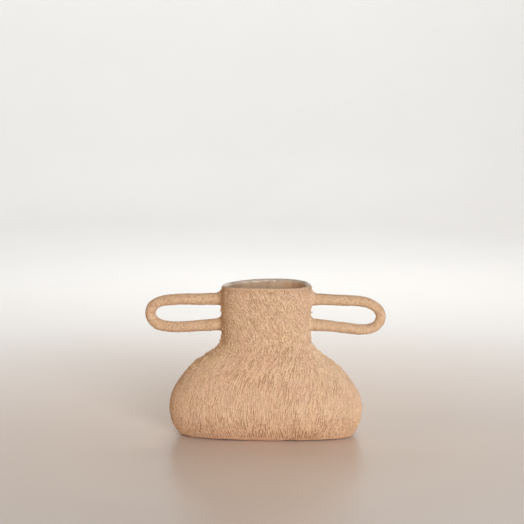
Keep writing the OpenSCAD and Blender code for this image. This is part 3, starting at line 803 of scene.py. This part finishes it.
def handle(name, hand, loop, seed):
    L = np.array([(REACH - COIL_R - a * (REACH - COIL_R - 60) / 76, z, k * COIL_R) for a, z, k in loop])
    s = np.linspace(0, len(L) - 1, 3001)
    q, _ = stations(L, s)
    run = np.concatenate([[0], np.cumsum(np.hypot(np.diff(q[:, 0]), np.diff(q[:, 1])))])
    n = int(run[-1] / 0.52)
    s = np.interp(np.linspace(0, run[-1], n + 1), run, s)
    q, d = stations(L, s)
    t = unit(d[:, :2])
    lead = 16                                        # straight ends, run a little into the neck
    x_top = neck_x(hand, np.array([0.0]), L[:1, 1])[0] - 1.2
    x_low = neck_x(hand, np.array([0.0]), L[-1:, 1])[0] - 1.2
    head = np.stack([np.linspace(x_top, q[0, 0], lead, endpoint=False), np.full(lead, q[0, 1]), np.full(lead, q[0, 2])], -1)
    tail = np.stack([np.linspace(q[-1, 0], x_low, lead + 1)[1:], np.full(lead, q[-1, 1]), np.full(lead, q[-1, 2])], -1)
    q = np.concatenate([head, q, tail])
    t = np.concatenate([np.tile([1.0, 0], (lead, 1)), t, np.tile([-1.0, 0], (lead, 1))])
    m = 80
    a = np.linspace(0, 2 * math.pi, m, endpoint=False)
    ring = lambda r: np.stack([hand * (q[:, :1] - t[:, 1:] * r * np.sin(a)), r * np.cos(a) * np.ones((len(q), 1)),
                               q[:, 1:2] + t[:, :1] * r * np.sin(a)], -1)
    base = ring(q[:, 2:3])
    if hand < 0:
        base = base[:, ::-1]
    tu, tv, nn = sheet_frame(base)
    rg = np.random.default_rng(seed)
    h = np.zeros(base.shape[:2])
    count = int(len(q) * m * 0.27 / 5.5)
    marks = [(rg.integers(2, len(q) - 2), rg.integers(0, m), math.radians(rg.normal(62, 24) * rg.choice([-1, 1])),
              rg.uniform(2.5, 6.0), rg.uniform(0.42, 0.68), rg.uniform(0.18, 0.42), rg.uniform(0.1, 0.25),
              rg.uniform(0.2, 0.55) if rg.random() < 0.3 else 0.0, rg.choice([1, 2]), rg.normal(0, 0.3))
             for _ in range(count)]
    scratch(base, tu, tv, h, marks, top=0.6, floor=-0.5)
    h += 0.09 * fractal(base, 1.5, seed + 3, 2)
    relief = h
    shape = 0.32 * noise(base, 16, seed + 1) + 0.16 * noise(base, 6, seed + 2)
    p = base + nn * (relief + shape)[..., None]
    _, _, pn = sheet_frame(p)
    rows = len(p)
    ends = np.stack([p[0].mean(0), p[-1].mean(0)])
    verts = np.concatenate([p.reshape(-1, 3), ends])
    k = np.arange(m)
    kn = (k + 1) % m
    polys = [grid_quads(0, rows, m), np.stack([np.full(m, rows * m), kn, k], -1),
             np.stack([np.full(m, rows * m + 1), (rows - 1) * m + k, (rows - 1) * m + kn], -1)]
    sense = np.sum(np.cross(p[0, 1] - p[0, 0], p[1, 0] - p[0, 0]) * (p[0, 0] - p[0].mean(0)))
    if sense < 0:
        polys = [f[:, ::-1] for f in polys]
        pn = -pn
    normals = np.concatenate([pn.reshape(-1, 3), [[-hand, 0, 0], [-hand, 0, 0]]])
    uv_rows = np.arange(rows - 1)[:, None] + 0 * k[None]
    bands = 4
    per = -(-(rows - 1) // bands)
    bk, bi = uv_rows // per, uv_rows % per
    hh = 0.96 / bands
    U0 = lambda x: 0.005 + 0.99 * x / per
    V0 = lambda y: 0.03 + bk * hh + 0.006 + (hh - 0.012) * y / m
    kk = k[None] + 0 * uv_rows
    g = np.stack([np.stack([U0(bi), V0(kk)], -1), np.stack([U0(bi), V0(kk + 1)], -1),
                  np.stack([U0(bi + 1), V0(kk + 1)], -1), np.stack([U0(bi + 1), V0(kk)], -1)], 2).reshape(-1, 4, 2)
    if sense < 0:
        g = g[:, ::-1]
    uv = [g, flat_uv(polys[1], 0.0, 0.01), flat_uv(polys[2], 0.012, 0.022)]
    add_piece(name + "_skin", verts, polys, normals, uv, {"relief": np.concatenate([relief.reshape(-1), [0, 0]])},
              name, HANDLE_CLAY)
    return L


def root(name, hand, z, r, k, fil, seed):
    """Soft clay worked round one end of a handle."""
    m, steps = 128, 26
    a = np.linspace(0, 2 * math.pi, m, endpoint=False)
    up = k * np.sin(a)
    ragged = 0.7 * noise(np.stack([9 * np.cos(a), 9 * np.sin(a), 0 * a], -1), 4, seed)
    g = fil[1] + (fil[0] - fil[1]) * np.clip(up, 0, 1) ** 1.5 + (fil[2] - fil[1]) * np.clip(-up, 0, 1) ** 1.5
    g = g + 0.8 + ragged * 0.6

    def on(rad, out, sink):
        y, h = rad * np.cos(a), z + k * rad * np.sin(a)
        return np.stack([neck_x(hand, y, h) + out - sink, y, h], -1)
    corner_p = on(np.full(m, r), 0.0, 0.0)
    neck_e = on(r + g, 0.0, 0.55)
    coil_e = on(np.full(m, r - 0.35), 1.0, 0.0) + np.stack([g - 1.0 + 0.6, 0 * g, 0 * g], -1)
    tt = np.linspace(0, 1, steps)[:, None, None]
    full = 0.68 * corner_p + 0.16 * (neck_e + coil_e)
    face = (1 - tt) ** 2 * neck_e + 2 * tt * (1 - tt) * full + tt ** 2 * coil_e
    face[..., 0] *= hand
    tu, tv, nn = sheet_frame(face)
    axis = np.array([0, 0, z])
    rad_v = face - axis
    rad_v[..., 0] = 0
    sgn = np.sign(np.sum(nn * (unit(rad_v) + np.array([hand * 1.0, 0, 0])), -1)).mean()
    sgn = 1.0 if sgn >= 0 else -1.0
    nn = nn * sgn
    rg = np.random.default_rng(seed)
    h = np.zeros(face.shape[:2])
    marks = [(rg.integers(1, steps - 1), rg.integers(0, m), math.radians(rg.normal(0, 30)), rg.uniform(2.5, 5.5),
              rg.uniform(0.4, 0.6), rg.uniform(0.12, 0.35), rg.uniform(0.06, 0.18),
              rg.uniform(0.15, 0.5) if rg.random() < 0.3 else 0.0, 1, rg.normal(0, 0.2)) for _ in range(90)]
    scratch(face, tu, tv, h, marks, top=0.6, floor=-0.4)
    h += 0.06 * fractal(face, 1.5, seed + 5, 2)
    fade = np.clip(np.minimum(np.arange(steps), np.arange(steps)[::-1]) / 4, 0, 1)[:, None]
    h = h * fade
    p = face + nn * (h + 0.25 * noise(face, 5, seed + 6) * fade)[..., None]
    corner_h = corner_p - np.array([0.55, 0, 0])
    corner_h[..., 1] = (r - 0.35) * np.cos(a)
    corner_h[..., 2] = z + k * (r - 0.35) * np.sin(a)
    corner_h[..., 0] *= hand
    p = np.concatenate([p, corner_h[None]])
    _, _, pn = sheet_frame(p[:-1])
    pn = np.concatenate([pn * sgn, np.tile([-hand, 0, 0], (1, m, 1))])
    rows = steps + 1
    quads = grid_quads(0, rows, m)
    kk = np.arange(m)
    kn = (kk + 1) % m
    close = np.stack([(rows - 1) * m + kk, (rows - 1) * m + kn, kn, kk], -1)
    polys = [quads[:(steps - 1) * m], np.concatenate([quads[(steps - 1) * m:], close])]
    if sgn < 0:
        polys = [f[:, ::-1] for f in polys]
    uv0 = strip_uv(steps, m, 1, 0.05, 1.0)
    uv = [uv0[:, ::-1] if sgn < 0 else uv0, flat_uv(polys[1], 0.0, 0.04)]
    relief = np.concatenate([h.reshape(-1), np.zeros(m)])
    add_piece(name + "_skin", p.reshape(-1, 3), polys, pn.reshape(-1, 3), uv, {"relief": relief}, name, CLAY)


LL = handle("left_handle", -1, LEFT_LOOP, 201)
RL = handle("right_handle", 1, RIGHT_LOOP, 301)
root("left_upper_root", -1, LL[0, 1], LL[0, 2], 1, (6.0, 3.0, 1.6), 401)
root("left_lower_root", -1, LL[-1, 1], LL[-1, 2], -1, (6.0, 3.0, 1.8), 501)
root("right_upper_root", 1, RL[0, 1], RL[0, 2], 1, (5.4, 3.0, 3.6), 601)
root("right_lower_root", 1, RL[-1, 1], RL[-1, 2], -1, (4.5, 3.0, 1.5), 701)

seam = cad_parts["floor_seam_coil"]
seam.data.materials.clear()
seam.data.materials.append(HANDLE_CLAY)

# ---------------------------------------------------------------- floor, light and camera
prof = [(0.0, 0.0), (0.4, 0.0), (1.0, 0.0), (1.8, 0.0), (2.3, 0.0)]
prof += [(2.3 + 0.9 * math.sin(x), 0.9 - 0.9 * math.cos(x)) for x in np.linspace(0, math.pi / 2, 13)[1:]]
prof += [(3.2, 1.5)]
seg = 96
ring = [(r * math.cos(2 * math.pi * j / seg), r * math.sin(2 * math.pi * j / seg), z) for r, z in prof[1:] for j in range(seg)]
faces = [(0, 1 + (j + 1) % seg, 1 + j)[::-1] for j in range(seg)]
for i in range(len(prof) - 2):
    for j in range(seg):
        k = (j + 1) % seg
        faces.append((1 + i * seg + j, 1 + (i + 1) * seg + j, 1 + (i + 1) * seg + k, 1 + i * seg + k))
me = bpy.data.meshes.new("studio_floor")
me.from_pydata([(0, 0, 0)] + ring, [], faces)
me.polygons.foreach_set("use_smooth", [True] * len(faces))
me.update()
studio = bpy.data.objects.new("studio_floor", me)
bpy.context.scene.collection.objects.link(studio)
m, nt, bsdf = new_material("pale_floor")
coord = nt.nodes.new("ShaderNodeTexCoord").outputs["Object"]
away = nt.nodes.new("ShaderNodeVectorMath")
away.operation = "LENGTH"
nt.links.new(coord, away.inputs[0])
pool = ramp(nt, span(nt, away.outputs["Value"], 0.2, 0.8), [(0.0, (0.77, 0.64, 0.54, 1)), (1.0, (0.89, 0.86, 0.815, 1))])
nt.links.new(mix(nt, "MULTIPLY", 1.0, pool, ramp(nt, noise_node(nt, coord, 3.0, 2.0), [(0.3, (0.98, 0.98, 0.98, 1)), (0.7, (1, 1, 1, 1))])),
             bsdf.inputs["Base Color"])
bsdf.inputs["Roughness"].default_value = 0.28
bsdf.inputs["Specular IOR Level"].default_value = 0.35
me.materials.append(m)

scene = bpy.context.scene
world = bpy.data.worlds.new("studio_air")
scene.world = world
world.use_nodes = True
bg = world.node_tree.nodes["Background"]
bg.inputs[0].default_value = (1.0, 0.93, 0.83, 1)
bg.inputs[1].default_value = 0.17
scene.view_settings.view_transform = "Standard"
scene.view_settings.look = "None"


def softbox(name, place, aim, size, power, colour=(1, 1, 1), spread=180, gleam=False):
    light = bpy.data.lights.new(name, "AREA")
    light.shape, light.size, light.size_y = "RECTANGLE", size[0], size[1]
    light.energy, light.color, light.spread = power, colour, math.radians(spread)
    ob = bpy.data.objects.new(name, light)
    ob.location = place
    ob.rotation_euler = (Vector(aim) - Vector(place)).to_track_quat("-Z", "Y").to_euler()
    ob.visible_camera, ob.visible_glossy = False, gleam
    scene.collection.objects.link(ob)


softbox("key", (1.0, -2.36, 0.70), (0, 0, 0.09), (1.3, 1.1), 13.6, (0.95, 1.0, 1.10), 80)
softbox("fill", (-2.1, -0.9, 0.6), (0, 0, 0.09), (1.0, 0.7), 1.3, (1.0, 0.5, 0.12), 80)
softbox("back", (0.3, 1.9, 2.3), (0, 0, 0.1), (1.4, 0.9), 4.6, (1.0, 0.93, 0.82))
softbox("backdrop", (0.0, 1.0, 1.8), (0, 3.0, 0.2), (2.4, 1.0), 38, (0.93, 0.985, 1.06))
softbox("left_wall", (-1.1, 0.2, 1.9), (-3.0, 0.3, 0.3), (2.0, 0.8), 6.5, (1.0, 0.92, 0.81), 120)
softbox("front_wall", (1.0, -1.0, 1.9), (2.4, -2.4, 0.3), (2.0, 0.8), 5, (1.0, 0.98, 0.95), 120)
softbox("rear", (0.2, 2.3, 0.95), (0, 0, 0.09), (1.2, 0.5), 2.0, (1.0, 0.95, 0.88), 70)

cam_data = bpy.data.cameras.new("camera")
cam_data.lens, cam_data.sensor_width, cam_data.sensor_fit = 100.0, 36.0, "HORIZONTAL"
cam_data.clip_start, cam_data.clip_end = 0.05, 50
cam = bpy.data.objects.new("camera", cam_data)
scene.collection.objects.link(cam)
pitch, yaw = math.radians(7.63), math.atan2(0.045871, 0.998947)
fwd = Vector((-math.sin(yaw) * math.cos(pitch), math.cos(yaw) * math.cos(pitch), -math.sin(pitch)))
right = Vector((math.cos(yaw), math.sin(yaw), 0))
up = right.cross(fwd)
cam.matrix_world = Matrix(((right.x, up.x, -fwd.x, 0.07432), (right.y, up.y, -fwd.y, -1.70218),
                           (right.z, up.z, -fwd.z, 0.43649), (0, 0, 0, 1)))
scene.camera = cam
